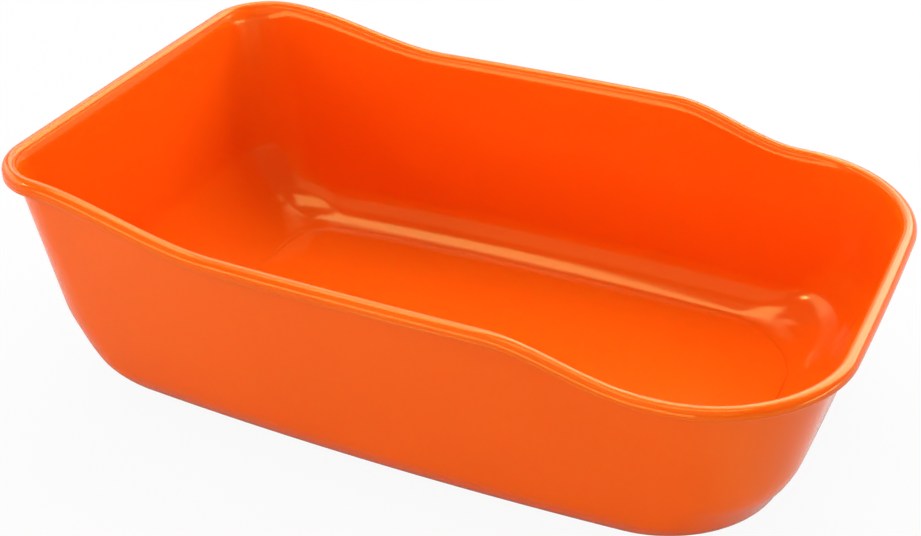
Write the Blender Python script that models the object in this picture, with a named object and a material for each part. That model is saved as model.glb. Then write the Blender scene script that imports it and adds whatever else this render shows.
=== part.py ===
"""Litter tray moulded in one piece, modelled in Blender 4.5 (metres, +Z up).

The tray stands on the plane z = 0.
+X points to the low entry end, and the tray mirrors across the XZ plane.
Its wall is one skin of even thickness, which turns outward and down at the top
into a hollow rim, and which rounds inward at the bottom into the base.
"""
import math

import bmesh
import bpy
from mathutils import Vector

# Heights of the rim's top above the ground: back, middle and entry stretches.
RIM_HEIGHT_BACK = 0.1285
RIM_HEIGHT_MIDDLE = 0.1125
RIM_HEIGHT_ENTRY = 0.0968

# Places along X, measured from the plan's origin, where the rim's two slopes start and end.
BACK_SLOPE_START = -0.1751
BACK_SLOPE_END = -0.0736
ENTRY_SLOPE_START = 0.0641
ENTRY_SLOPE_END = 0.1364

# Outer face of the walls, measured from the plan's origin at this height.
PLAN_HEIGHT = 0.0350
BACK_HALF_LENGTH = 0.1893
ENTRY_HALF_LENGTH = 0.1931
HALF_WIDTH = 0.1107

# Outward lean of each wall, as run over rise.
BACK_LEAN_SHARE = 0.127
ENTRY_LEAN_SHARE = 0.204
SIDE_LEAN_SHARE = 0.116

# Rounding between each wall and the base.
BACK_ROUND_HEIGHT = 0.0468
BACK_ROUND_WIDTH = 0.0356
BACK_ROUND_POWER_SHARE = 1.55
ENTRY_ROUND_HEIGHT = 0.0459
ENTRY_ROUND_WIDTH = 0.0252
ENTRY_ROUND_POWER_SHARE = 1.65
SIDE_ROUND_HEIGHT = 0.0197
SIDE_ROUND_WIDTH = 0.0155
SIDE_ROUND_POWER_SHARE = 1.65

# Shallow waist in the entry wall, just above the foot.
WAIST_HEIGHT = 0.0310
WAIST_HALF_HEIGHT = 0.0085
WAIST_DEPTH = 0.0016

# Vertical corners: radius at the base, at PLAN_HEIGHT and at the middle rim height.
BACK_CORNER_BASE_RADIUS = 0.0283
BACK_CORNER_PLAN_RADIUS = 0.0345
BACK_CORNER_RIM_RADIUS = 0.0282
ENTRY_CORNER_BASE_RADIUS = 0.0469
ENTRY_CORNER_PLAN_RADIUS = 0.0347
ENTRY_CORNER_RIM_RADIUS = 0.0682

# Bow of the long sides and of the two ends, and how much wider the entry end is.
SIDE_BOW_BASE_SHARE = 0.071
SIDE_BOW_RIM_SHARE = 0.061
TAPER_BASE_SHARE = 0.009
TAPER_RIM_SHARE = 0.019
BACK_BOW_SHARE = 0.003
ENTRY_BOW_SHARE = 0.012

# The skin and its rim.
WALL = 0.0022
LIP_GAP = 0.0028
LIP_BACK_SHARE = 0.3
SKIRT_BACK_LENGTH = 0.0028
SKIRT_ENTRY_LENGTH = 0.0005
LIP_FOOT_SHARE = 0.3

# The base: a standing foot around a shallow recess, and a raised panel inside.
FOOT_WIDTH = 0.0070
RECESS_DEPTH = 0.0006
RECESS_SLOPE_WIDTH = 0.0008
GROOVE_WIDTH = 0.0015
PANEL_HEIGHT = 0.0006
PANEL_SLOPE_WIDTH = 0.0008

# Round gate mark under the base.
GATE_RADIUS = 0.0030
GATE_HEIGHT = 0.00035
GATE_OVERRUN = 0.0005
GATE_SEGMENTS = 24

# Finish of the plastic.
PLASTIC_COLOUR = (0.871, 0.080, 0.0045, 1.0)
PLASTIC_ROUGHNESS = 0.22

# Steps along half of the outline: end wall, corner and long side.
END_STEPS = 3
CORNER_STEPS = 9
SIDE_STEPS = 20

# Levels of the wall: shares of the rounded zone's height, then of the straight wall above it.
ZONE_MARGIN_SHARE = 1.06
ZONE_LEVEL_SHARES = (0.004, 0.014, 0.034, 0.070, 0.120, 0.185, 0.275, 0.385, 0.520, 0.640, 0.780, 1.0)
WALL_LEVEL_SHARES = (0.35, 0.70)
SMALL_ARC_STEPS = 2
LIP_ARC_STEPS = 3
INNER_ARC_STEPS = 4
OUTER_ARC_STEPS = 5

# What follows from the sizes above.
RIM_BACK_ARC = WALL + LIP_GAP * LIP_BACK_SHARE
RIM_FRONT_ARC = WALL + LIP_GAP * (1.0 - LIP_BACK_SHARE)
RIM_WIDTH = RIM_BACK_ARC + RIM_FRONT_ARC
LIP_FOOT_ARC = WALL * LIP_FOOT_SHARE
ZONE_HEIGHT = ZONE_MARGIN_SHARE * max(BACK_ROUND_HEIGHT, ENTRY_ROUND_HEIGHT, SIDE_ROUND_HEIGHT)


def smooth_step(value, start, end):
    """Rise from 0 at start to 1 at end without a kink at either."""
    part = min(max((value - start) / (end - start), 0.0), 1.0)
    return part * part * (3.0 - 2.0 * part)


def blend(low, high, part):
    """Value between low and high."""
    return low + (high - low) * part


def rim_height(x):
    """Height of the rim's top at a place along X."""
    back = (RIM_HEIGHT_MIDDLE - RIM_HEIGHT_BACK) * smooth_step(x, BACK_SLOPE_START, BACK_SLOPE_END)
    entry = (RIM_HEIGHT_ENTRY - RIM_HEIGHT_MIDDLE) * smooth_step(x, ENTRY_SLOPE_START, ENTRY_SLOPE_END)
    return RIM_HEIGHT_BACK + back + entry


def skirt_length(x):
    """Straight drop of the lip below its rounding at a place along X."""
    return blend(SKIRT_BACK_LENGTH, SKIRT_ENTRY_LENGTH, smooth_step(x, BACK_SLOPE_END, ENTRY_SLOPE_END))


def rounding(z, height, reach, power):
    """Inward run of the rounding between wall and base at height z."""
    part = min(max((height - z) / height, 0.0), 1.0)
    return reach * (1.0 - (1.0 - part ** power) ** (1.0 / power))


def outline(z):
    """Half of the wall's outer outline at height z, from the back's middle to the entry's middle."""
    rise = z - PLAN_HEIGHT
    back = BACK_HALF_LENGTH + BACK_LEAN_SHARE * rise
    back -= rounding(z, BACK_ROUND_HEIGHT, BACK_ROUND_WIDTH, BACK_ROUND_POWER_SHARE)
    entry = ENTRY_HALF_LENGTH + ENTRY_LEAN_SHARE * rise
    entry -= rounding(z, ENTRY_ROUND_HEIGHT, ENTRY_ROUND_WIDTH, ENTRY_ROUND_POWER_SHARE)
    entry -= WAIST_DEPTH * math.exp(-((z - WAIST_HEIGHT) / WAIST_HALF_HEIGHT) ** 2)
    side = HALF_WIDTH + SIDE_LEAN_SHARE * rise
    side -= rounding(z, SIDE_ROUND_HEIGHT, SIDE_ROUND_WIDTH, SIDE_ROUND_POWER_SHARE)
    if rise > 0.0:
        part = rise / (RIM_HEIGHT_MIDDLE - PLAN_HEIGHT)
        back_corner = blend(BACK_CORNER_PLAN_RADIUS, BACK_CORNER_RIM_RADIUS, part)
        entry_corner = blend(ENTRY_CORNER_PLAN_RADIUS, ENTRY_CORNER_RIM_RADIUS, part)
        bow = blend(SIDE_BOW_BASE_SHARE, SIDE_BOW_RIM_SHARE, part)
        taper = blend(TAPER_BASE_SHARE, TAPER_RIM_SHARE, part)
    else:
        part = -rise / PLAN_HEIGHT
        back_corner = blend(BACK_CORNER_PLAN_RADIUS, BACK_CORNER_BASE_RADIUS, part)
        entry_corner = blend(ENTRY_CORNER_PLAN_RADIUS, ENTRY_CORNER_BASE_RADIUS, part)
        bow = SIDE_BOW_BASE_SHARE
        taper = TAPER_BASE_SHARE
    points = []
    for i in range(END_STEPS):
        points.append((-back, -(side - back_corner) * i / END_STEPS))
    for i in range(CORNER_STEPS):
        turn = math.pi / 2.0 * i / CORNER_STEPS
        across = side - back_corner + back_corner * math.sin(turn)
        points.append((-back + back_corner - back_corner * math.cos(turn), -across))
    for i in range(SIDE_STEPS):
        points.append((blend(back_corner - back, entry - entry_corner, i / SIDE_STEPS), -side))
    for i in range(CORNER_STEPS):
        turn = math.pi / 2.0 * i / CORNER_STEPS
        across = side - entry_corner + entry_corner * math.cos(turn)
        points.append((entry - entry_corner + entry_corner * math.sin(turn), -across))
    for i in range(END_STEPS + 1):
        points.append((entry, -(side - entry_corner) * (1.0 - i / END_STEPS)))
    middle = (entry - back) / 2.0
    half_length = (entry + back) / 2.0
    bowed = []
    for x, y in points:
        along = (x - middle) / half_length
        across = y / side
        end_bow = BACK_BOW_SHARE if along < 0.0 else ENTRY_BOW_SHARE
        wide_y = y * (1.0 + taper * along + bow * (1.0 - along * along))
        long_x = middle + (x - middle) * (1.0 + end_bow * (1.0 - across * across))
        bowed.append(Vector((long_x, wide_y, z)))
    return bowed


def whole(half):
    """Full loop from a half outline: the mirrored half follows the given one."""
    mirrored = [Vector((p.x, -p.y, p.z)) for p in half[-2:0:-1]]
    return [p.copy() for p in half] + mirrored


def plan_normals(loop):
    """Outward directions of a loop, lying flat."""
    count = len(loop)
    normals = []
    for i in range(count):
        tangent = loop[(i + 1) % count] - loop[i - 1]
        normals.append(Vector((tangent.y, -tangent.x, 0.0)).normalized())
    return normals


def rim_seat():
    """Wall's outer face at the height of the rim's top, which changes along X."""
    guess = outline(RIM_HEIGHT_MIDDLE)
    for _ in range(8):
        levels = {}
        for i, point in enumerate(guess):
            levels[i] = outline(rim_height(point.x))[i]
        guess = [levels[i] for i in range(len(guess))]
    return guess


def wall_rows(seat):
    """Rows of the wall's outer face, from the base's edge up to the rim."""
    rows = [whole(outline(0.0))]
    for share in ZONE_LEVEL_SHARES:
        rows.append(whole(outline(ZONE_HEIGHT * share)))
    for share in WALL_LEVEL_SHARES + (1.0,):
        row = []
        for i, top in enumerate(seat):
            z = blend(ZONE_HEIGHT, top.z - RIM_BACK_ARC, share)
            row.append(outline(z)[i])
        rows.append(whole(row))
    return rows


def skin_rows(rows):
    """Rows of the wall's inner face, WALL inside the outer rows."""
    count = len(rows[0])
    inner = []
    for k, row in enumerate(rows):
        flat = plan_normals(row)
        above = rows[min(k + 1, len(rows) - 1)]
        below = rows[max(k - 1, 0)]
        new_row = []
        for i in range(count):
            if k == 0:
                normal = Vector((0.0, 0.0, -1.0))
            else:
                along = row[(i + 1) % count] - row[i - 1]
                full = along.cross(above[i] - below[i]).normalized()
                part = smooth_step(row[i].z, ZONE_HEIGHT / 2.0, ZONE_HEIGHT)
                normal = full.lerp(flat[i], part).normalized()
            new_row.append(row[i] - normal * WALL)
        inner.append(new_row)
    return inner


def arc(centre, radius, start, end, steps):
    """Points of an arc in the rim's section, as (outward, up) pairs."""
    points = []
    for i in range(steps + 1):
        turn = math.radians(blend(start, end, i / steps))
        points.append((centre[0] + radius * math.cos(turn), centre[1] + radius * math.sin(turn)))
    return points


def rim_section(skirt):
    """Section of the rim from the wall's outer face round to its inner face.

    Outward is measured from the wall's inner face and up from the rim's top.
    """
    back_centre = (RIM_BACK_ARC, -RIM_BACK_ARC)
    front_centre = (RIM_BACK_ARC, -RIM_FRONT_ARC)
    foot_middle = -RIM_FRONT_ARC - skirt
    foot_in = (RIM_WIDTH - WALL + LIP_FOOT_ARC, foot_middle)
    foot_out = (RIM_WIDTH - LIP_FOOT_ARC, foot_middle)
    points = arc(back_centre, RIM_BACK_ARC - WALL, 180.0, 90.0, SMALL_ARC_STEPS)[1:]
    points += arc(front_centre, RIM_FRONT_ARC - WALL, 90.0, 0.0, LIP_ARC_STEPS)[1:]
    points += arc(foot_in, LIP_FOOT_ARC, 180.0, 270.0, SMALL_ARC_STEPS)
    points += arc(foot_out, LIP_FOOT_ARC, 270.0, 360.0, SMALL_ARC_STEPS)
    points += arc(front_centre, RIM_FRONT_ARC, 0.0, 90.0, OUTER_ARC_STEPS)
    points += arc(back_centre, RIM_BACK_ARC, 90.0, 180.0, INNER_ARC_STEPS)[1:-1]
    return points


def rim_rows(seat):
    """Rows of the rim, carried along the wall's top."""
    loop = whole(seat)
    normals = plan_normals(loop)
    sections = [rim_section(skirt_length(point.x)) for point in loop]
    rows = []
    for k in range(len(sections[0])):
        row = []
        for point, normal, section in zip(loop, normals, sections):
            out, up = section[k]
            row.append(point + normal * (out - WALL) + Vector((0.0, 0.0, up)))
        rows.append(row)
    return rows


def inset_row(loop, distance, z):
    """A loop moved inward by a distance and set at height z."""
    normals = plan_normals(loop)
    return [Vector((p.x, p.y, z)) - n * distance for p, n in zip(loop, normals)]


def centred(rows):
    """Move all rows along X so that the tray's bounding box is centred on the origin."""
    places = [point.x for row in rows for point in row]
    shift = Vector((-(min(places) + max(places)) / 2.0, 0.0, 0.0))
    return [[point + shift for point in row] for row in rows]


def fill_across(mesh, row, top):
    """Close a flat loop with strips from each point to its mirror image."""
    count = len(row)
    half = count // 2
    for i in range(half):
        near = [row[i], row[i + 1]]
        far = [row[(count - i - 1) % count], row[(count - i) % count]]
        corners = []
        for vertex in near + far:
            if vertex not in corners:
                corners.append(vertex)
        mesh.faces.new(corners if top else list(reversed(corners)))


def add_tray(material):
    """The whole tray as one closed skin."""
    seat = rim_seat()
    outer = wall_rows(seat)
    inner = skin_rows(outer)
    base = outer[0]
    rows = [
        inset_row(base, FOOT_WIDTH + RECESS_SLOPE_WIDTH, RECESS_DEPTH),
        inset_row(base, FOOT_WIDTH, 0.0),
    ]
    rows += outer
    rows += rim_rows(seat)
    rows += list(reversed(inner))
    rows += [
        inset_row(base, GROOVE_WIDTH, WALL),
        inset_row(base, GROOVE_WIDTH + PANEL_SLOPE_WIDTH, WALL + PANEL_HEIGHT),
    ]
    mesh = bmesh.new()
    grid = [[mesh.verts.new(point) for point in row] for row in centred(rows)]
    count = len(grid[0])
    for low, high in zip(grid, grid[1:]):
        for i in range(count):
            j = (i + 1) % count
            mesh.faces.new((low[i], low[j], high[j], high[i]))
    fill_across(mesh, grid[0], False)
    fill_across(mesh, grid[-1], True)
    bmesh.ops.recalc_face_normals(mesh, faces=mesh.faces)
    data = bpy.data.meshes.new("tray")
    mesh.to_mesh(data)
    mesh.free()
    data.shade_smooth()
    data.set_sharp_from_angle(angle=math.radians(32.0))
    data.materials.append(material)
    tray = bpy.data.objects.new("tray", data)
    bpy.context.collection.objects.link(tray)
    return tray


def add_gate_mark(tray):
    """Join the small round gate mark to the recess under the base."""
    mesh = bmesh.new()
    depth = GATE_HEIGHT + GATE_OVERRUN
    bmesh.ops.create_cone(
        mesh, cap_ends=True, segments=GATE_SEGMENTS, radius1=GATE_RADIUS, radius2=GATE_RADIUS, depth=depth
    )
    data = bpy.data.meshes.new("gate_mark")
    mesh.to_mesh(data)
    mesh.free()
    data.materials.append(tray.data.materials[0])
    mark = bpy.data.objects.new("gate_mark", data)
    mark.location = (0.0, 0.0, RECESS_DEPTH - GATE_HEIGHT + depth / 2.0)
    mark.hide_render = True
    mark.display_type = "WIRE"
    bpy.context.collection.objects.link(mark)
    join = tray.modifiers.new("Gate mark", "BOOLEAN")
    join.operation = "UNION"
    join.solver = "EXACT"
    join.object = mark


def plastic():
    """Glossy orange plastic."""
    material = bpy.data.materials.new("orange_plastic")
    material.use_nodes = True
    shader = material.node_tree.nodes["Principled BSDF"]
    shader.inputs["Base Color"].default_value = PLASTIC_COLOUR
    shader.inputs["Roughness"].default_value = PLASTIC_ROUGHNESS
    shader.inputs["Metallic"].default_value = 0.0
    return material


def main():
    """Clear the scene and build the tray."""
    for item in list(bpy.data.objects):
        bpy.data.objects.remove(item, do_unlink=True)
    tray = add_tray(plastic())
    add_gate_mark(tray)


main()
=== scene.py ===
import logging
import math
from dataclasses import dataclass, field
from enum import Enum

import bpy
import numpy as np
from mathutils import Matrix, Vector


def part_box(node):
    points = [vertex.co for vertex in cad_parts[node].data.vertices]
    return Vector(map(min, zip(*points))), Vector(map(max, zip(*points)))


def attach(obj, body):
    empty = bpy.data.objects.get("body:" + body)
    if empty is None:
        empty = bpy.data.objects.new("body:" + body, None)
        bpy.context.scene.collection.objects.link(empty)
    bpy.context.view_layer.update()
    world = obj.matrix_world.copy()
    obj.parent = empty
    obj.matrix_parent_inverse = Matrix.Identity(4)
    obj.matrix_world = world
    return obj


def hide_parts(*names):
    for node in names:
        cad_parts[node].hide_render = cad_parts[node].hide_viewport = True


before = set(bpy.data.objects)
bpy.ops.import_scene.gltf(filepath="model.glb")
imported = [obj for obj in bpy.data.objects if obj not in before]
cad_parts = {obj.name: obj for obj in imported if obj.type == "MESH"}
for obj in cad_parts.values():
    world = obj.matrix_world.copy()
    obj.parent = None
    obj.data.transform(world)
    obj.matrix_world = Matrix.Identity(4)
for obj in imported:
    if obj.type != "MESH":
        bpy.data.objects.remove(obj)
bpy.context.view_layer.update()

LOG = logging.getLogger("litter_tray")
WHITE = (1.0, 1.0, 1.0, 1.0)
# Length below which a vector is too short to be scaled to length 1.
SHORTEST = 1e-12

Colour = tuple[float, float, float]
Place = tuple[float, float, float]
Face = tuple[int, ...]


def smooth_step(value: np.ndarray, start: float, end: float) -> np.ndarray:
    """Rise from 0 at start to 1 at end without a kink at either.

    Args:
        value: Places to read the rise at.
        start: Place where the rise begins.
        end: Place where the rise is complete.

    Returns:
        The rise at each place.
    """
    part = np.clip((value - start) / (end - start), 0.0, 1.0)
    return part * part * (3.0 - 2.0 * part)


def unit(rows: np.ndarray) -> np.ndarray:
    """Scale the vectors of an array to length 1."""
    return rows / np.maximum(np.linalg.norm(rows, axis=-1, keepdims=True), SHORTEST)


def turned(loop: np.ndarray) -> np.ndarray:
    """Outward directions of closed loops, lying flat.

    Args:
        loop: Points of one or more loops, along the last axis but one.

    Returns:
        One flat unit vector for each point.
    """
    along = np.roll(loop, -1, axis=-2) - np.roll(loop, 1, axis=-2)
    return unit(np.stack([along[..., 1], -along[..., 0], np.zeros_like(along[..., 0])], axis=-1))


def band_faces(levels: int, count: int, turned_over: bool = False) -> list[Face]:
    """Join loops of points, each to the next, by faces with four corners.

    Args:
        levels: Number of loops.
        count: Points round each loop.
        turned_over: Whether the faces look the other way.

    Returns:
        The faces.
    """
    faces: list[Face] = []
    for level in range(levels - 1):
        low, high = level * count, (level + 1) * count
        for i in range(count):
            one, other = i, (i + 1) % count
            if turned_over:
                one, other = other, one
            faces.append((low + one, low + other, high + other, high + one))
    return faces


def eased_range(
    tree: bpy.types.NodeTree,
    value: bpy.types.NodeSocket,
    reach: tuple[float, float],
    share: tuple[float, float],
) -> bpy.types.NodeSocket:
    """Let one value follow another, easing in and out at both ends.

    Args:
        tree: Node tree that it belongs to.
        value: Socket that it follows.
        reach: Readings between which it changes.
        share: What it gives at each of them.

    Returns:
        The socket that gives it.
    """
    fade = tree.nodes.new("ShaderNodeMapRange")
    fade.interpolation_type = "SMOOTHSTEP"
    fade.inputs["From Min"].default_value, fade.inputs["From Max"].default_value = reach
    fade.inputs["To Min"].default_value, fade.inputs["To Max"].default_value = share
    tree.links.new(value, fade.inputs["Value"])
    return fade.outputs["Result"]


class Wall(Enum):
    """The three kinds of wall that stand round the floor."""

    BACK = "back"
    ENTRY = "entry"
    SIDE = "side"


class Stretch(Enum):
    """The stretches of half the outline, from the back's middle to the entry's middle."""

    BACK_END = "half of the back end"
    BACK_CORNER = "back corner"
    SIDE = "long side"
    ENTRY_CORNER = "entry corner"
    ENTRY_END = "half of the entry end"


@dataclass(frozen=True)
class WallForm:
    """How one wall leans, and how it rounds into the base.

    Attributes:
        reach: Distance of the outer face from the plan's origin, at the plan's height.
        lean: Outward run over rise.
        round_height: Height at which the rounding ends in the straight wall.
        round_width: Inward run of the rounding.
        round_power: Fullness of the rounding.
    """

    reach: float
    lean: float
    round_height: float
    round_width: float
    round_power: float

    def place(self, z: np.ndarray, plan_height: float) -> np.ndarray:
        """Distance of the outer face from the plan's origin.

        Args:
            z: Heights above the ground.
            plan_height: Height at which reach is measured.

        Returns:
            The distance at each height.
        """
        part = np.clip((self.round_height - z) / self.round_height, 0.0, 1.0)
        rounding = self.round_width * (1.0 - (1.0 - part ** self.round_power) ** (1.0 / self.round_power))
        return self.reach + self.lean * (z - plan_height) - rounding


@dataclass(frozen=True)
class CornerForm:
    """Radius of one pair of upright corners at three heights.

    Attributes:
        base: Radius on the ground.
        plan: Radius at the plan's height.
        rim: Radius at the height of the rim's middle stretch.
    """

    base: float
    plan: float
    rim: float

    def radius(self, above: np.ndarray, below: np.ndarray) -> np.ndarray:
        """Radius of the corners at every height.

        Args:
            above: Share of the way from the plan's height up to the rim's middle stretch.
            below: Share of the way from the plan's height down to the ground.

        Returns:
            The radius at each height.
        """
        towards_rim = (self.rim - self.plan) * above
        towards_base = (self.base - self.plan) * below
        return self.plan + np.where(above > 0.0, towards_rim, towards_base)


@dataclass
class TrayPlan:
    """The tray's outline at every height.

    Attributes:
        plan_height: Height at which the walls' reach is measured.
        middle_height: Height of the rim's middle stretch, where the upper shares are measured.
        walls: Form of each wall.
        back_corner: Corners beside the back wall.
        entry_corner: Corners beside the entry wall.
        side_bow: Bow of the long sides, at the plan's height and at the rim.
        taper: How much wider the entry end is, at the plan's height and at the rim.
        back_bow: Bow of the back wall.
        entry_bow: Bow of the entry wall.
        waist_height: Height of the shallow waist in the entry wall.
        waist_half_height: How far the waist spreads up and down.
        waist_depth: Depth of the waist.
        end_steps: Columns along half of each end wall.
        corner_steps: Columns round each corner.
        side_steps: Columns along each long side.
    """

    plan_height: float = 0.0350
    middle_height: float = 0.1125
    walls: dict[Wall, WallForm] = field(
        default_factory=lambda: {
            Wall.BACK: WallForm(0.1893, 0.127, 0.0468, 0.0356, 1.55),
            Wall.ENTRY: WallForm(0.1931, 0.204, 0.0459, 0.0252, 1.65),
            Wall.SIDE: WallForm(0.1107, 0.116, 0.0197, 0.0155, 1.65),
        }
    )
    back_corner: CornerForm = CornerForm(0.0283, 0.0345, 0.0282)
    entry_corner: CornerForm = CornerForm(0.0469, 0.0347, 0.0682)
    side_bow: tuple[float, float] = (0.071, 0.061)
    taper: tuple[float, float] = (0.009, 0.019)
    back_bow: float = 0.003
    entry_bow: float = 0.012
    waist_height: float = 0.0310
    waist_half_height: float = 0.0085
    waist_depth: float = 0.0016
    end_steps: int = 14
    corner_steps: int = 34
    side_steps: int = 74

    def steps(self) -> list[tuple[Stretch, float]]:
        """Name the stretch that each column of half the outline lies on.

        Returns:
            The stretch and the share of it that lies behind, from the back's middle to the entry's middle.
        """
        counts = {
            Stretch.BACK_END: self.end_steps,
            Stretch.BACK_CORNER: self.corner_steps,
            Stretch.SIDE: self.side_steps,
            Stretch.ENTRY_CORNER: self.corner_steps,
            Stretch.ENTRY_END: self.end_steps,
        }
        listed = [(stretch, i / count) for stretch, count in counts.items() for i in range(count)]
        return listed + [(Stretch.ENTRY_END, 1.0)]

    def above(self, z: np.ndarray) -> np.ndarray:
        """Share of the way from the plan's height up to the rim's middle stretch, at heights z."""
        return (z - self.plan_height) / (self.middle_height - self.plan_height)

    def below(self, z: np.ndarray) -> np.ndarray:
        """Share of the way from the plan's height down to the ground, at heights z."""
        return -(z - self.plan_height) / self.plan_height

    def reaches(self, z: np.ndarray) -> tuple[np.ndarray, np.ndarray, np.ndarray]:
        """Distances of the walls' outer faces from the plan's origin.

        Args:
            z: Heights above the ground.

        Returns:
            The distance of the back, the entry and the side walls at each height.
        """
        back = self.walls[Wall.BACK].place(z, self.plan_height)
        entry = self.walls[Wall.ENTRY].place(z, self.plan_height)
        side = self.walls[Wall.SIDE].place(z, self.plan_height)
        waist = np.exp(-(((z - self.waist_height) / self.waist_half_height) ** 2))
        return back, entry - self.waist_depth * waist, side

    def straight_outline(self, z: np.ndarray) -> tuple[np.ndarray, np.ndarray]:
        """Outline whose walls are straight in plan and joined by round corners.

        Args:
            z: Heights, whose last axis runs over the columns of half the outline.

        Returns:
            The places along X and along Y.
        """
        backs, entries, sides = self.reaches(z)
        back_rounds = self.back_corner.radius(self.above(z), self.below(z))
        entry_rounds = self.entry_corner.radius(self.above(z), self.below(z))
        x, y = np.zeros_like(z), np.zeros_like(z)
        for i, (stretch, part) in enumerate(self.steps()):
            back, entry, side = backs[..., i], entries[..., i], sides[..., i]
            back_round, entry_round = back_rounds[..., i], entry_rounds[..., i]
            turn = math.pi / 2.0 * part
            if stretch is Stretch.BACK_END:
                x[..., i] = -back
                y[..., i] = -(side - back_round) * part
            elif stretch is Stretch.BACK_CORNER:
                x[..., i] = -back + back_round - back_round * math.cos(turn)
                y[..., i] = -(side - back_round + back_round * math.sin(turn))
            elif stretch is Stretch.SIDE:
                x[..., i] = (back_round - back) + (entry - entry_round - back_round + back) * part
                y[..., i] = -side
            elif stretch is Stretch.ENTRY_CORNER:
                x[..., i] = entry - entry_round + entry_round * math.sin(turn)
                y[..., i] = -(side - entry_round + entry_round * math.cos(turn))
            else:
                x[..., i] = entry
                y[..., i] = -(side - entry_round) * (1.0 - part)
        return x, y

    def outline(self, z: np.ndarray) -> np.ndarray:
        """Outer face of the wall, with a height of its own for every column.

        Args:
            z: Heights, whose last axis runs over the columns of half the outline.

        Returns:
            Points, with x, y and z along a new last axis.
        """
        back, entry, side = self.reaches(z)
        x, y = self.straight_outline(z)
        middle, half_length = (entry - back) / 2.0, (entry + back) / 2.0
        along, across = (x - middle) / half_length, y / side
        rise = np.maximum(self.above(z), 0.0)
        taper = self.taper[0] + (self.taper[1] - self.taper[0]) * rise
        side_bow = self.side_bow[0] + (self.side_bow[1] - self.side_bow[0]) * rise
        end_bow = np.where(along < 0.0, self.back_bow, self.entry_bow)
        wide_y = y * (1.0 + taper * along + side_bow * (1.0 - along * along))
        long_x = middle + (x - middle) * (1.0 + end_bow * (1.0 - across * across))
        return np.stack([long_x, wide_y, z], axis=-1)

    @staticmethod
    def whole(half: np.ndarray) -> np.ndarray:
        """Full loops from half outlines: the mirrored half follows the given one."""
        mirrored = half[..., -2:0:-1, :] * np.array([1.0, -1.0, 1.0])
        return np.concatenate([half, mirrored], axis=-2)


@dataclass(frozen=True)
class Arc:
    """One arc of the rim's section.

    Attributes:
        centre: Its centre, as outward place from the wall's inner face and height above the rim's top.
        radius: Its radius.
        start: Angle at which it starts, in degrees from straight outward.
        end: Angle at which it ends.
        steps: Number of straight pieces that it is made of.
        drop: Share of the skirt's length that it hangs lower.
    """

    centre: tuple[float, float]
    radius: float
    start: float
    end: float
    steps: int
    drop: float

    def points(self) -> list[Place]:
        """Points along the arc.

        Returns:
            Triples of outward place, height and drop.
        """
        listed = []
        for i in range(self.steps + 1):
            turn = math.radians(self.start + (self.end - self.start) * i / self.steps)
            out = self.centre[0] + self.radius * math.cos(turn)
            up = self.centre[1] + self.radius * math.sin(turn)
            listed.append((out, up, self.drop))
        return listed


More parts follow.
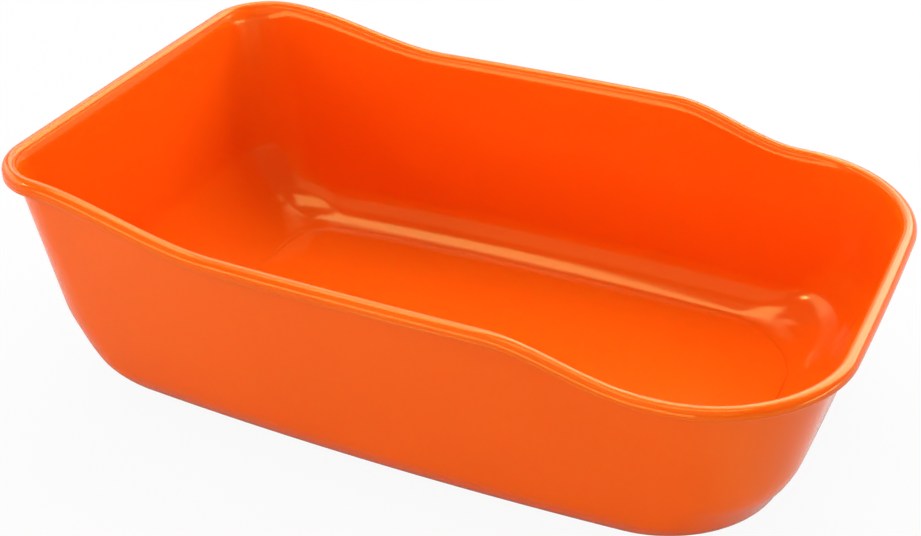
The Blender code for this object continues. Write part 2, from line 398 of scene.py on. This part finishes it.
@dataclass
class RolledRim:
    """The hollow rim that turns outward and down along the wall's top.

    Attributes:
        back_height: Height of the rim's top along the back.
        middle_height: Height along the middle stretch of the long sides.
        entry_height: Height along the entry end.
        back_slope: Where the slope from back to middle starts and ends, along X.
        entry_slope: Where the slope from middle to entry starts and ends, along X.
        wall: Thickness of the skin.
        gap: Width of the hollow under the rim.
        back_share: Share of the gap that lies over the wall's side of the rim.
        skirt_back: Straight drop of the lip at the back.
        skirt_entry: Straight drop of the lip at the entry.
        foot_share: Rounding of the lip's lower edge, as a share of the skin.
        seam_height: Height that the mould's parting line stands proud of the lip.
        seam_profile: Section of that line, as shares of its height and of the lip's drop.
        hollow_steps: Steps of the two arcs inside the hollow, from the wall out.
        foot_steps: Steps of each rounding of the lip's lower edge.
        top_steps: Steps of the two arcs over the rim, from the lip in.
        touching: Distance up to which two points of the section count as one.
    """

    back_height: float = 0.1285
    middle_height: float = TrayPlan.middle_height
    entry_height: float = 0.0968
    back_slope: tuple[float, float] = (-0.1751, -0.0736)
    entry_slope: tuple[float, float] = (0.0641, 0.1364)
    wall: float = 0.0022
    gap: float = 0.0028
    back_share: float = 0.3
    skirt_back: float = 0.0028
    skirt_entry: float = 0.0005
    foot_share: float = 0.3
    seam_height: float = 0.00008
    seam_profile: tuple[tuple[float, float], ...] = ((0.0, 0.60), (1.0, 0.55), (1.0, 0.45), (0.0, 0.40))
    hollow_steps: tuple[int, int] = (6, 8)
    foot_steps: int = 5
    top_steps: tuple[int, int] = (14, 12)
    touching: float = 1e-7

    @property
    def back_arc(self) -> float:
        """Radius of the rim's outer face over the wall."""
        return self.wall + self.gap * self.back_share

    @property
    def front_arc(self) -> float:
        """Radius of the rim's outer face over the lip."""
        return self.wall + self.gap * (1.0 - self.back_share)

    @property
    def width(self) -> float:
        """Width of the rim from the wall's inner face to the lip's outer face."""
        return self.back_arc + self.front_arc

    def height(self, x: np.ndarray) -> np.ndarray:
        """Height of the rim's top.

        Args:
            x: Places along X.

        Returns:
            The height at each place.
        """
        back = (self.middle_height - self.back_height) * smooth_step(x, *self.back_slope)
        entry = (self.entry_height - self.middle_height) * smooth_step(x, *self.entry_slope)
        return self.back_height + back + entry

    def skirt(self, x: np.ndarray) -> np.ndarray:
        """Straight drop of the lip at places along X."""
        share = smooth_step(x, self.back_slope[1], self.entry_slope[1])
        return self.skirt_back + (self.skirt_entry - self.skirt_back) * share

    def section(self) -> list[Place]:
        """Section from the wall's outer face, round under the rim, to its inner face.

        Returns:
            Triples of outward place from the wall's inner face, height above the rim's top,
            and the share of the skirt's length that the point hangs lower.
        """
        back, front, foot = self.back_arc, self.front_arc, self.wall * self.foot_share
        over_wall, over_lip = (back, -back), (back, -front)
        foot_in, foot_out = (self.width - self.wall + foot, -front), (self.width - foot, -front)
        points = Arc(over_wall, back - self.wall, 180.0, 90.0, self.hollow_steps[0], 0.0).points()[1:]
        points += Arc(over_lip, front - self.wall, 90.0, 0.0, self.hollow_steps[1], 0.0).points()
        points += Arc(foot_in, foot, 180.0, 270.0, self.foot_steps, 1.0).points()
        points += Arc(foot_out, foot, 270.0, 360.0, self.foot_steps, 1.0).points()
        points += [(self.width + self.seam_height * out, -front, drop) for out, drop in self.seam_profile]
        points += Arc(over_lip, front, 0.0, 90.0, self.top_steps[0], 0.0).points()
        points += Arc(over_wall, back, 90.0, 180.0, self.top_steps[1], 0.0).points()[:-1]
        return self.single(points)

    def single(self, points: list[Place]) -> list[Place]:
        """Leave out each point that lies on the one before it.

        Args:
            points: Points of a section, in order.

        Returns:
            The points that are left.
        """
        kept = [points[0]]
        for point in points[1:]:
            if math.dist(point[:2], kept[-1][:2]) > self.touching or point[2] != kept[-1][2]:
                kept.append(point)
        return kept


@dataclass
class TrayBase:
    """The standing foot, the recess that it surrounds and the raised panel inside.

    Attributes:
        foot_width: Width of the flat foot that the tray stands on.
        recess_depth: Depth of the recess inside the foot.
        recess_slope: Width of the recess's sloped edge.
        groove_width: Width of the flat strip between the wall's rounding and the panel.
        groove_rows: Shares of that strip's width at which it has rows.
        panel_height: Height of the panel above the strip.
        panel_slope: Width of the panel's sloped edge.
        slope_steps: Steps of each of those two edges.
        flat_steps: Distances of the rows that keep the flats flat beside their edges.
        gate_radius: Radius of the gate mark under the floor.
        gate_height: Height that the gate mark stands proud of the recess.
        gate_edge: Rounding of the gate mark's edge.
        gate_edge_steps: Steps of that rounding.
        gate_stub: Radius of the trimmed stub in the gate mark's middle.
        stub_profile: Section of the stub, as shares of its radius and of the edge's rounding.
        gate_columns: Columns round the gate mark.
    """

    foot_width: float = 0.0070
    recess_depth: float = 0.0006
    recess_slope: float = 0.0008
    groove_width: float = 0.0015
    groove_rows: tuple[float, ...] = (0.33, 0.66)
    panel_height: float = 0.0006
    panel_slope: float = 0.0008
    slope_steps: int = 8
    flat_steps: tuple[float, ...] = (0.0004, 0.0012, 0.0035, 0.0100)
    gate_radius: float = 0.0030
    gate_height: float = 0.00035
    gate_edge: float = 0.00015
    gate_edge_steps: int = 6
    gate_stub: float = 0.0008
    stub_profile: tuple[tuple[float, float], ...] = ((1.5, 0.0), (1.2, 1.0), (1.0, 0.8), (0.8, 0.2))
    gate_columns: int = 48

    def under(self) -> list[tuple[float, float]]:
        """Rows of the underside, from the middle out.

        Returns:
            Pairs of inset from the base's edge and height.
        """
        start = self.foot_width + self.recess_slope
        rows = [(start + step, self.recess_depth) for step in reversed(self.flat_steps)]
        rows += self.step_rows(start, self.foot_width, self.recess_depth, 0.0)
        rows += [(self.foot_width - step, 0.0) for step in self.flat_steps[:-1]]
        return rows

    def inside(self, wall: float) -> list[tuple[float, float]]:
        """Rows of the floor's inner face, from the wall in.

        Args:
            wall: Thickness of the skin.

        Returns:
            Pairs of inset from the base's edge and height.
        """
        start, end = self.groove_width, self.groove_width + self.panel_slope
        rows = [(start * share, wall) for share in self.groove_rows]
        rows += self.step_rows(start, end, wall, wall + self.panel_height)
        rows += [(end + step, wall + self.panel_height) for step in self.flat_steps]
        return rows

    def gate_profile(self) -> list[tuple[float, float]]:
        """Section of the gate mark, from its root in the floor to its middle.

        Returns:
            Pairs of radius and height.
        """
        low = self.recess_depth - self.gate_height
        rows = [(self.gate_radius, self.recess_depth + self.gate_edge)]
        for i in range(self.gate_edge_steps + 1):
            turn = math.pi / 2.0 * i / self.gate_edge_steps
            out = self.gate_radius - self.gate_edge * (1.0 - math.cos(turn))
            rows.append((out, low + self.gate_edge * (1.0 - math.sin(turn))))
        rows += [(self.gate_stub * out, low + self.gate_edge * up) for out, up in self.stub_profile]
        return rows

    def gate_mark(self) -> tuple[list[Place], list[Face]]:
        """Turn the gate mark's section into a closed disc.

        Returns:
            Points and faces.
        """
        count = self.gate_columns
        points: list[Place] = []
        for radius, z in self.gate_profile():
            for i in range(count):
                turn = 2.0 * math.pi * i / count
                points.append((radius * math.cos(turn), radius * math.sin(turn), z))
        faces = band_faces(len(points) // count, count, turned_over=True)
        faces.append(tuple(range(count)))
        faces.append(tuple(reversed(range(len(points) - count, len(points)))))
        return points, faces

    def step_rows(self, start: float, end: float, low: float, high: float) -> list[tuple[float, float]]:
        """Rows of a sloped edge that runs smoothly into the flats beside it.

        Args:
            start: Inset at which the edge begins.
            end: Inset at which it ends.
            low: Height before it.
            high: Height after it.

        Returns:
            Pairs of inset from the base's edge and height.
        """
        parts = np.arange(self.slope_steps + 1) / self.slope_steps
        insets = start + (end - start) * parts
        heights = low + (high - low) * smooth_step(parts, 0.0, 1.0)
        return list(zip(insets.tolist(), heights.tolist()))


@dataclass(frozen=True)
class GlossyPlastic:
    """Glossy moulded plastic, coloured right through.

    Attributes:
        colour: Colour of the plastic.
        deep_colour: Colour where the pigment lies a little thicker.
        shine: Tint of the reflections seen straight on.
        index: Index of refraction.
        glow: Share of the light that soaks into the thin plastic before it comes out again.
        glow_reach: How far each of the three colours soaks in, as shares of the next size.
        glow_scale: Depth that the red part reaches.
        roughness: Roughness of the polished skin.
        dull_roughness: Roughness where the skin is a little hazy.
        cloud_scale: Waves of the colour clouds per metre.
        cloud_detail: Finer layers of the clouds.
        cloud_edges: Readings of the clouds between which the colour changes.
        haze_scale: Waves of the haze per metre.
        haze_detail: Finer layers of the haze.
        haze_edges: Readings of the haze between which the roughness changes.
        peel_scale: Waves of the fine surface ripple per metre.
        peel_detail: Finer layers of the ripple.
        peel_depth: Depth of the ripple.
    """

    colour: Colour = (0.770, 0.101, 0.0022)
    deep_colour: Colour = (0.755, 0.095, 0.0018)
    shine: Colour = (1.0, 1.0, 0.24)
    index: float = 1.49
    glow: float = 0.6
    glow_reach: Colour = (1.0, 0.50, 0.05)
    glow_scale: float = 0.0032
    roughness: float = 0.11
    dull_roughness: float = 0.16
    cloud_scale: float = 14.0
    cloud_detail: float = 3.0
    cloud_edges: tuple[float, float] = (0.35, 0.65)
    haze_scale: float = 45.0
    haze_detail: float = 4.0
    haze_edges: tuple[float, float] = (0.3, 0.7)
    peel_scale: float = 260.0
    peel_detail: float = 2.0
    peel_depth: float = 0.00002

    def material(self, name: str) -> bpy.types.Material:
        """Make the material.

        Args:
            name: Name of the new material.

        Returns:
            The material.
        """
        material = bpy.data.materials.new(name)
        material.use_nodes = True
        tree = material.node_tree
        shader = tree.nodes["Principled BSDF"]
        shader.inputs["Metallic"].default_value = 0.0
        shader.inputs["IOR"].default_value = self.index
        shader.inputs["Specular Tint"].default_value = (*self.shine, 1.0)
        shader.inputs["Subsurface Weight"].default_value = self.glow
        shader.inputs["Subsurface Radius"].default_value = self.glow_reach
        shader.inputs["Subsurface Scale"].default_value = self.glow_scale
        place = tree.nodes.new("ShaderNodeTexCoord").outputs["Object"]
        tree.links.new(self.clouds(tree, place), shader.inputs["Base Color"])
        tree.links.new(self.haze(tree, place), shader.inputs["Roughness"])
        tree.links.new(self.ripple(tree, place), shader.inputs["Normal"])
        return material

    def clouds(self, tree: bpy.types.NodeTree, place: bpy.types.NodeSocket) -> bpy.types.NodeSocket:
        """Let the pigment lie a little thicker here and there.

        Args:
            tree: The material's node tree.
            place: Socket that gives the place on the object.

        Returns:
            The socket that gives the colour.
        """
        cloud = self.noise(tree, place, self.cloud_scale, self.cloud_detail)
        tint = tree.nodes.new("ShaderNodeValToRGB")
        for element, edge, colour in zip(
            tint.color_ramp.elements, self.cloud_edges, (self.deep_colour, self.colour)
        ):
            element.position = edge
            element.color = (*colour, 1.0)
        tree.links.new(cloud, tint.inputs["Fac"])
        return tint.outputs["Color"]

    def haze(self, tree: bpy.types.NodeTree, place: bpy.types.NodeSocket) -> bpy.types.NodeSocket:
        """Let the gloss be a little hazier here and there.

        Args:
            tree: The material's node tree.
            place: Socket that gives the place on the object.

        Returns:
            The socket that gives the roughness.
        """
        haze = self.noise(tree, place, self.haze_scale, self.haze_detail)
        gloss = tree.nodes.new("ShaderNodeMapRange")
        gloss.inputs["From Min"].default_value, gloss.inputs["From Max"].default_value = self.haze_edges
        gloss.inputs["To Min"].default_value = self.roughness
        gloss.inputs["To Max"].default_value = self.dull_roughness
        tree.links.new(haze, gloss.inputs["Value"])
        return gloss.outputs["Result"]

    def ripple(self, tree: bpy.types.NodeTree, place: bpy.types.NodeSocket) -> bpy.types.NodeSocket:
        """Ripple the surface finely, as the mould's polish leaves it.

        Args:
            tree: The material's node tree.
            place: Socket that gives the place on the object.

        Returns:
            The socket that gives the surface's direction.
        """
        peel = self.noise(tree, place, self.peel_scale, self.peel_detail)
        bump = tree.nodes.new("ShaderNodeBump")
        bump.inputs["Strength"].default_value = 1.0
        bump.inputs["Distance"].default_value = self.peel_depth
        tree.links.new(peel, bump.inputs["Height"])
        return bump.outputs["Normal"]

    @staticmethod
    def noise(
        tree: bpy.types.NodeTree, place: bpy.types.NodeSocket, scale: float, detail: float
    ) -> bpy.types.NodeSocket:
        """Add a noise texture.

        Args:
            tree: The material's node tree.
            place: Socket that gives the place on the object.
            scale: Waves per metre.
            detail: Number of finer layers.

        Returns:
            The socket that gives the noise.
        """
        texture = tree.nodes.new("ShaderNodeTexNoise")
        texture.inputs["Scale"].default_value = scale
        texture.inputs["Detail"].default_value = detail
        tree.links.new(place, texture.inputs["Vector"])
        return texture.outputs["Fac"]


@dataclass
class LitterTray:
    """The whole tray: one skin from the base up the wall and round the rim.

    Attributes:
        plan: The outline at every height.
        rim: The rolled rim.
        base: The foot, the recess and the panel.
        finish: Finish of everything but the underside.
        under_finish: Finish of the underside.
        seat_passes: Passes in which the wall's top settles at the rim's height.
        zone_margin: Height of the wall's closely stepped part, as a share of its highest rounding.
        zone_power: How closely the rows there crowd towards the base.
        zone_rows: Rows in that part.
        wall_rows: Rows from there up to the rim.
        under_share: Height up to which faces count as the underside, as a share of the recess's depth.
        under_tilt: Upward part of a face's direction, below which it counts so.
    """

    plan: TrayPlan = field(default_factory=TrayPlan)
    rim: RolledRim = field(default_factory=RolledRim)
    base: TrayBase = field(default_factory=TrayBase)
    finish: GlossyPlastic = GlossyPlastic()
    under_finish: GlossyPlastic = GlossyPlastic(roughness=0.30, dull_roughness=0.36, peel_scale=900.0)
    seat_passes: int = 12
    zone_margin: float = 1.06
    zone_power: float = 2.2
    zone_rows: int = 30
    wall_rows: int = 12
    under_share: float = 1.01
    under_tilt: float = -0.5

    @property
    def zone(self) -> float:
        """Height of the wall's closely stepped part."""
        return self.zone_margin * max(form.round_height for form in self.plan.walls.values())

    def seat(self) -> np.ndarray:
        """Wall's outer face at the height of the rim's top.

        Returns:
            A point for each column of half the outline.
        """
        z = np.full(len(self.plan.steps()), self.rim.middle_height)
        for _ in range(self.seat_passes):
            z = self.rim.height(self.plan.outline(z)[:, 0])
        return self.plan.outline(z)

    def outer_rows(self, seat: np.ndarray) -> np.ndarray:
        """Rows of the wall's outer face, from the base's edge up to the rim.

        Args:
            seat: Wall's outer face at the height of the rim's top.

        Returns:
            The rows' full loops.
        """
        crowded = (np.arange(1, self.zone_rows + 1) / self.zone_rows) ** self.zone_power
        heights = [np.full(len(seat), self.zone * share) for share in (0.0, *crowded)]
        top = seat[:, 2] - self.rim.back_arc
        for i in range(1, self.wall_rows + 1):
            heights.append(self.zone + (top - self.zone) * i / self.wall_rows)
        return TrayPlan.whole(self.plan.outline(np.array(heights)))

    def inner_rows(self, outer: np.ndarray) -> np.ndarray:
        """Rows of the wall's inner face, one skin inside the outer rows.

        Args:
            outer: The outer rows.

        Returns:
            The rows' full loops.
        """
        along = np.roll(outer, -1, axis=1) - np.roll(outer, 1, axis=1)
        up = np.empty_like(outer)
        up[1:-1] = outer[2:] - outer[:-2]
        up[0], up[-1] = outer[1] - outer[0], outer[-1] - outer[-2]
        full = unit(np.cross(along, up))
        part = smooth_step(outer[..., 2:3], self.zone / 2.0, self.zone)
        normal = unit(full * (1.0 - part) + turned(outer) * part)
        normal[0] = (0.0, 0.0, -1.0)
        return outer - normal * self.rim.wall

    def rim_rows(self, seat: np.ndarray) -> np.ndarray:
        """Rows of the rim, carried along the wall's top.

        Args:
            seat: Wall's outer face at the height of the rim's top.

        Returns:
            The rows' full loops.
        """
        loop = TrayPlan.whole(seat)
        normal = turned(loop)
        skirt = self.rim.skirt(loop[:, 0])[:, None]
        rows = []
        for out, up, drop in self.rim.section():
            lift = np.zeros_like(loop)
            lift[:, 2:3] = up - drop * skirt
            rows.append(loop + normal * (out - self.rim.wall) + lift)
        return np.array(rows)

    @staticmethod
    def flat_rows(edge: np.ndarray, steps: list[tuple[float, float]]) -> np.ndarray:
        """Rows of the base, laid inside its edge.

        Args:
            edge: Loop of the base's edge.
            steps: Inset and height of each row.

        Returns:
            The rows' full loops.
        """
        inward = -turned(edge)
        rows = []
        for inset, z in steps:
            row = edge + inward * inset
            row[:, 2] = z
            rows.append(row)
        return np.array(rows)

    def skin(self) -> np.ndarray:
        """All rows of the tray's surface, from the underside's middle to the floor's middle.

        Returns:
            The rows' full loops.
        """
        seat = self.seat()
        outer = self.outer_rows(seat)
        inner = self.inner_rows(outer)
        under = self.flat_rows(outer[0], self.base.under())
        inside = self.flat_rows(outer[0], self.base.inside(self.rim.wall))
        return self.fitted(np.concatenate([under, outer, self.rim_rows(seat), inner[::-1], inside]))

    @staticmethod
    def fitted(rows: np.ndarray) -> np.ndarray:
        """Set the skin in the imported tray's box.

        Args:
            rows: All rows of the skin.

        Returns:
            The same rows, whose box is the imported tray's.
        """
        low, high = (np.array(corner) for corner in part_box("tray"))
        own_low, own_high = rows.min(axis=(0, 1)), rows.max(axis=(0, 1))
        scale = (high - low) / (own_high - own_low)
        LOG.info("tray skin fitted to the packed box by %.5f, %.5f, %.5f", *scale)
        return (rows - own_low) * scale + low

    @staticmethod
    def end_faces(count: int, start: int, turned_over: bool) -> list[Face]:
        """Close a loop with faces that run from one long side to the other.

        Args:
            count: Points round the loop.
            start: Number of the loop's first point.
            turned_over: Whether the faces look down.

        Returns:
            The faces.
        """
        faces: list[Face] = []
        for i in range(count // 2):
            ring = list(dict.fromkeys([i, i + 1, (count - i - 1) % count, (count - i) % count]))
            if turned_over:
                ring.reverse()
            faces.append(tuple(start + place for place in ring))
        return faces

    def mesh(self) -> bpy.types.Mesh:
        """Join the rows into one closed mesh, and set the gate mark under it.

        Returns:
            The mesh, whose underside has the second material.
        """
        rows = self.skin()
        levels, count = rows.shape[:2]
        points = rows.reshape(-1, 3).tolist()
        faces = band_faces(levels, count)
        faces += self.end_faces(count, 0, turned_over=True)
        faces += self.end_faces(count, len(points) - count, turned_over=False)
        gate_points, gate_faces = self.base.gate_mark()
        faces += [tuple(len(points) + place for place in face) for face in gate_faces]
        data = bpy.data.meshes.new("tray_skin")
        data.from_pydata(points + gate_points, [], faces)
        data.validate()
        data.update()
        data.shade_smooth()
        highest = self.base.recess_depth * self.under_share
        for face in data.polygons:
            face.material_index = int(face.center.z < highest and face.normal.z < self.under_tilt)
        return data

    def build(self) -> bpy.types.Object:
        """Build and dress the tray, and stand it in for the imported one.

        Returns:
            The tray's object.
        """
        data = self.mesh()
        data.materials.append(self.finish.material("glossy_orange_plastic"))
        data.materials.append(self.under_finish.material("satin_orange_plastic"))
        tray = bpy.data.objects.new("tray_skin", data)
        bpy.context.collection.objects.link(tray)
        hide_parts("tray")
        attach(tray, "root")
        return tray


def direction(azimuth: float, elevation: float) -> Vector:
    """Direction from the tray, with azimuth 0 towards -Y and 90 towards +X.

    Args:
        azimuth: Angle round the tray in degrees.
        elevation: Angle above the floor in degrees.

    Returns:
        A unit vector.
    """
    az, el = math.radians(azimuth), math.radians(elevation)
    return Vector((math.sin(az) * math.cos(el), -math.cos(az) * math.cos(el), math.sin(el)))


@dataclass(frozen=True)
class SoftBox:
    """A rectangular soft lamp that faces the tray.

    Attributes:
        name: Name of the lamp.
        azimuth: Where it hangs round the tray, in degrees.
        elevation: How high it hangs, in degrees.
        distance: Distance from the tray.
        width: Width of its face.
        height: Height of its face.
        brightness: Brightness of its face, where 1 is white.
    """

    name: str
    azimuth: float
    elevation: float
    distance: float
    width: float
    height: float
    brightness: float

    def build(self, aim: Vector) -> bpy.types.Object:
        """Hang the lamp.

        Args:
            aim: Point that it faces.

        Returns:
            The lamp's object.
        """
        data = bpy.data.lights.new(self.name, "AREA")
        data.shape = "RECTANGLE"
        data.size, data.size_y = self.width, self.height
        data.energy = self.brightness * math.pi * self.width * self.height
        lamp = bpy.data.objects.new(self.name, data)
        away = direction(self.azimuth, self.elevation)
        lamp.location = aim + away * self.distance
        lamp.rotation_euler = (-away).to_track_quat("-Z", "Y").to_euler()
        bpy.context.collection.objects.link(lamp)
        return lamp


@dataclass
class Studio:
    """A plain pale floor and soft white light.

    Attributes:
        aim: Point that the lamps face.
        floor_size: Side of the floor.
        floor_drop: How far the floor lies under the tray's foot.
        floor_colour: Colour of the floor.
        floor_roughness: Roughness of the floor.
        floor_specular: Strength of the floor's own reflections.
        seen_share: Share of plain white in the floor as the camera sees it, by the tray and far off.
        seen_reach: Distances from the tray between which that share grows.
        painted_sheen_share: Share of plain white in it as reflections show it, by the tray and past its entry
            end; the white past the entry end is a painted reflection that lays a pale sheen low on the tray's
            entry corner.
        painted_sheen_reach: Places along X between which that share grows, and so where the painted sheen
            begins.
        ambient: Strength of the surroundings.
        backdrop: Strength of the surroundings near the horizon, where they are the backdrop.
        backdrop_height: Upward parts of the direction between which the backdrop fades out.
        boxes: The soft lamps.
    """

    aim: Place = (0.0, 0.0, 0.05)
    floor_size: float = 8.0
    floor_drop: float = 0.0003
    floor_colour: Colour = (0.45, 0.45, 0.45)
    floor_roughness: float = 0.6
    floor_specular: float = 0.2
    seen_share: tuple[float, float] = (0.93, 1.0)
    seen_reach: tuple[float, float] = (0.35, 1.30)
    # The white that reflections show past the entry end is a painted reflection: a pale sheen low on the
    # tray's entry corner.
    painted_sheen_share: tuple[float, float] = (0.06, 1.0)
    painted_sheen_reach: tuple[float, float] = (0.16, 0.23)
    ambient: float = 0.24
    backdrop: float = 1.0
    backdrop_height: tuple[float, float] = (0.12, 0.24)
    boxes: tuple[SoftBox, ...] = (
        SoftBox("overhead_soft_box", -112.0, 70.0, 1.6, 1.30, 0.48, 4.3),
        SoftBox("top_soft_box", 40.0, 77.0, 1.6, 1.10, 0.50, 3.4),
        SoftBox("high_back_soft_box", 174.0, 61.0, 1.6, 1.20, 0.60, 2.8),
        SoftBox("left_soft_box", -84.0, 24.0, 1.8, 1.9, 0.70, 2.2),
        SoftBox("front_soft_box", 8.0, 42.0, 1.7, 2.2, 1.0, 0.6),
        SoftBox("low_front_soft_box", -10.0, 12.0, 1.8, 2.1, 0.62, 3.6),
        SoftBox("low_right_soft_box", 98.0, 4.5, 1.8, 0.90, 0.28, 5.5),
        SoftBox("back_left_soft_box", -150.0, 42.0, 1.7, 1.5, 1.3, 2.3),
        SoftBox("back_right_soft_box", 150.0, 37.0, 1.7, 1.3, 1.3, 2.2),
        SoftBox("back_key_soft_box", 160.0, 35.0, 1.6, 1.50, 0.85, 3.4),
        SoftBox("small_soft_box", -60.0, 33.0, 1.8, 0.09, 0.20, 48.0),
    )

    def floor(self) -> bpy.types.Object:
        """Lay the floor.

        Returns:
            The floor's object.
        """
        size = self.floor_size / 2.0
        data = bpy.data.meshes.new("studio_floor")
        corners = [(-size, -size, 0.0), (size, -size, 0.0), (size, size, 0.0), (-size, size, 0.0)]
        data.from_pydata(corners, [], [(0, 1, 2, 3)])
        data.materials.append(self.floor_material())
        floor = bpy.data.objects.new("studio_floor", data)
        floor.location.z = -self.floor_drop
        bpy.context.collection.objects.link(floor)
        return floor

    def floor_material(self) -> bpy.types.Material:
        """Make the floor's finish: matt, and whiter where it is seen than where it lights. Past the tray's
        entry end it also glows white in reflections only, a painted reflection that lays a pale sheen on the
        tray's entry corner.

        Returns:
            The material.
        """
        material = bpy.data.materials.new("pale_floor")
        material.use_nodes = True
        nodes, links = material.node_tree.nodes, material.node_tree.links
        shader = nodes["Principled BSDF"]
        shader.inputs["Base Color"].default_value = (*self.floor_colour, 1.0)
        shader.inputs["Roughness"].default_value = self.floor_roughness
        shader.inputs["Specular IOR Level"].default_value = self.floor_specular
        glow = nodes.new("ShaderNodeEmission")
        glow.inputs["Color"].default_value = WHITE
        mix = nodes.new("ShaderNodeMixShader")
        links.new(self.white_share(material.node_tree), mix.inputs["Fac"])
        links.new(shader.outputs["BSDF"], mix.inputs[1])
        links.new(glow.outputs["Emission"], mix.inputs[2])
        links.new(mix.outputs["Shader"], nodes["Material Output"].inputs["Surface"])
        return material

    def white_share(self, tree: bpy.types.NodeTree) -> bpy.types.NodeSocket:
        """Share of plain white in the floor, for each kind of ray.

        The share that the camera sees grows away from the tray, so that the floor runs into the backdrop.
        The share that reflections show grows past the tray's entry end: there the floor glows white for
        reflection rays only, a painted reflection that lays a pale sheen low on the tray's entry corner.

        Args:
            tree: The floor's node tree.

        Returns:
            The socket that gives the share.
        """
        nodes, links = tree.nodes, tree.links
        place = nodes.new("ShaderNodeTexCoord")
        away = nodes.new("ShaderNodeVectorMath")
        away.operation = "LENGTH"
        links.new(place.outputs["Object"], away.inputs[0])
        parts = nodes.new("ShaderNodeSeparateXYZ")
        links.new(place.outputs["Object"], parts.inputs["Vector"])
        rays = nodes.new("ShaderNodeLightPath")
        far_share = eased_range(tree, away.outputs["Value"], self.seen_reach, self.seen_share)
        seen = nodes.new("ShaderNodeMath")
        seen.operation = "MULTIPLY"
        links.new(rays.outputs["Is Camera Ray"], seen.inputs[0])
        links.new(far_share, seen.inputs[1])
        mirrored = nodes.new("ShaderNodeMath")
        mirrored.operation = "MAXIMUM"
        links.new(rays.outputs["Is Glossy Ray"], mirrored.inputs[0])
        links.new(rays.outputs["Is Transmission Ray"], mirrored.inputs[1])
        # Painted reflection: past the entry end the floor glows white for reflection rays only, which paints
        # a pale sheen low on the tray's entry corner.
        sheen_glow_share = eased_range(tree, parts.outputs["X"], self.painted_sheen_reach, self.painted_sheen_share)
        share = nodes.new("ShaderNodeMath")
        share.operation = "MULTIPLY_ADD"
        links.new(mirrored.outputs[0], share.inputs[0])
        links.new(sheen_glow_share, share.inputs[1])
        links.new(seen.outputs[0], share.inputs[2])
        return share.outputs[0]

    def surroundings(self) -> bpy.types.World:
        """Make the world: a white backdrop near the horizon, and softer above it.

        Returns:
            The world.
        """
        world = bpy.data.worlds.new("soft_surroundings")
        world.use_nodes = True
        tree = world.node_tree
        light = tree.nodes["Background"]
        light.inputs["Color"].default_value = WHITE
        place = tree.nodes.new("ShaderNodeTexCoord")
        parts = tree.nodes.new("ShaderNodeSeparateXYZ")
        tree.links.new(place.outputs["Generated"], parts.inputs["Vector"])
        strength = eased_range(tree, parts.outputs["Z"], self.backdrop_height, (self.backdrop, self.ambient))
        tree.links.new(strength, light.inputs["Strength"])
        bpy.context.scene.world = world
        return world

    def build(self) -> list[bpy.types.Object]:
        """Lay the floor, make the surroundings and hang the lamps.

        Returns:
            The floor and the lamps.
        """
        floor = self.floor()
        self.surroundings()
        return [floor] + [box.build(Vector(self.aim)) for box in self.boxes]


@dataclass(frozen=True)
class PhotoCamera:
    """The camera at the photograph's viewing angle.

    Attributes:
        azimuth: Where it stands round the tray, in degrees.
        elevation: How high it stands, in degrees.
        roll: Turn about its own line of sight, in degrees.
        aim: Point in the middle of its view.
        distance: Distance from that point.
        lens: Focal length in millimetres.
        sensor: Width of the sensor in millimetres.
        near: Distance from which it sees.
        far: Distance up to which it sees.
    """

    azimuth: float = 25.0788
    elevation: float = 31.3071
    roll: float = -0.2398
    aim: Place = (-0.00610, -0.00430, 0.05785)
    distance: float = 0.84513
    lens: float = 63.9545
    sensor: float = 36.0
    near: float = 0.01
    far: float = 50.0

    def build(self) -> bpy.types.Object:
        """Set the camera up and make it the scene's.

        Returns:
            The camera's object.
        """
        roll = math.radians(self.roll)
        back = direction(self.azimuth, self.elevation)
        flat = direction(self.azimuth + 90.0, 0.0)
        rise = back.cross(flat)
        right = flat * math.cos(roll) + rise * math.sin(roll)
        up = rise * math.cos(roll) - flat * math.sin(roll)
        data = bpy.data.cameras.new("photo_camera")
        data.lens = self.lens
        data.sensor_width = self.sensor
        data.sensor_fit = "HORIZONTAL"
        data.clip_start, data.clip_end = self.near, self.far
        camera = bpy.data.objects.new("photo_camera", data)
        turn = Matrix((right, up, back)).transposed().to_4x4()
        camera.matrix_world = Matrix.Translation(Vector(self.aim) + back * self.distance) @ turn
        bpy.context.collection.objects.link(camera)
        bpy.context.scene.camera = camera
        return camera


def main() -> None:
    """Build the tray, the studio and the camera."""
    logging.basicConfig(level=logging.INFO, format="%(name)s: %(message)s")
    bpy.context.scene.view_settings.view_transform = "Standard"
    tray = LitterTray().build()
    LOG.info("%s: %d faces", tray.name, len(tray.data.polygons))
    staged = Studio().build()
    LOG.info("studio: a floor and %d soft boxes", len(staged) - 1)
    camera = PhotoCamera().build()
    LOG.info("%s: %.1f mm lens", camera.name, camera.data.lens)
    bpy.context.view_layer.update()


if __name__ == "__main__":
    main()
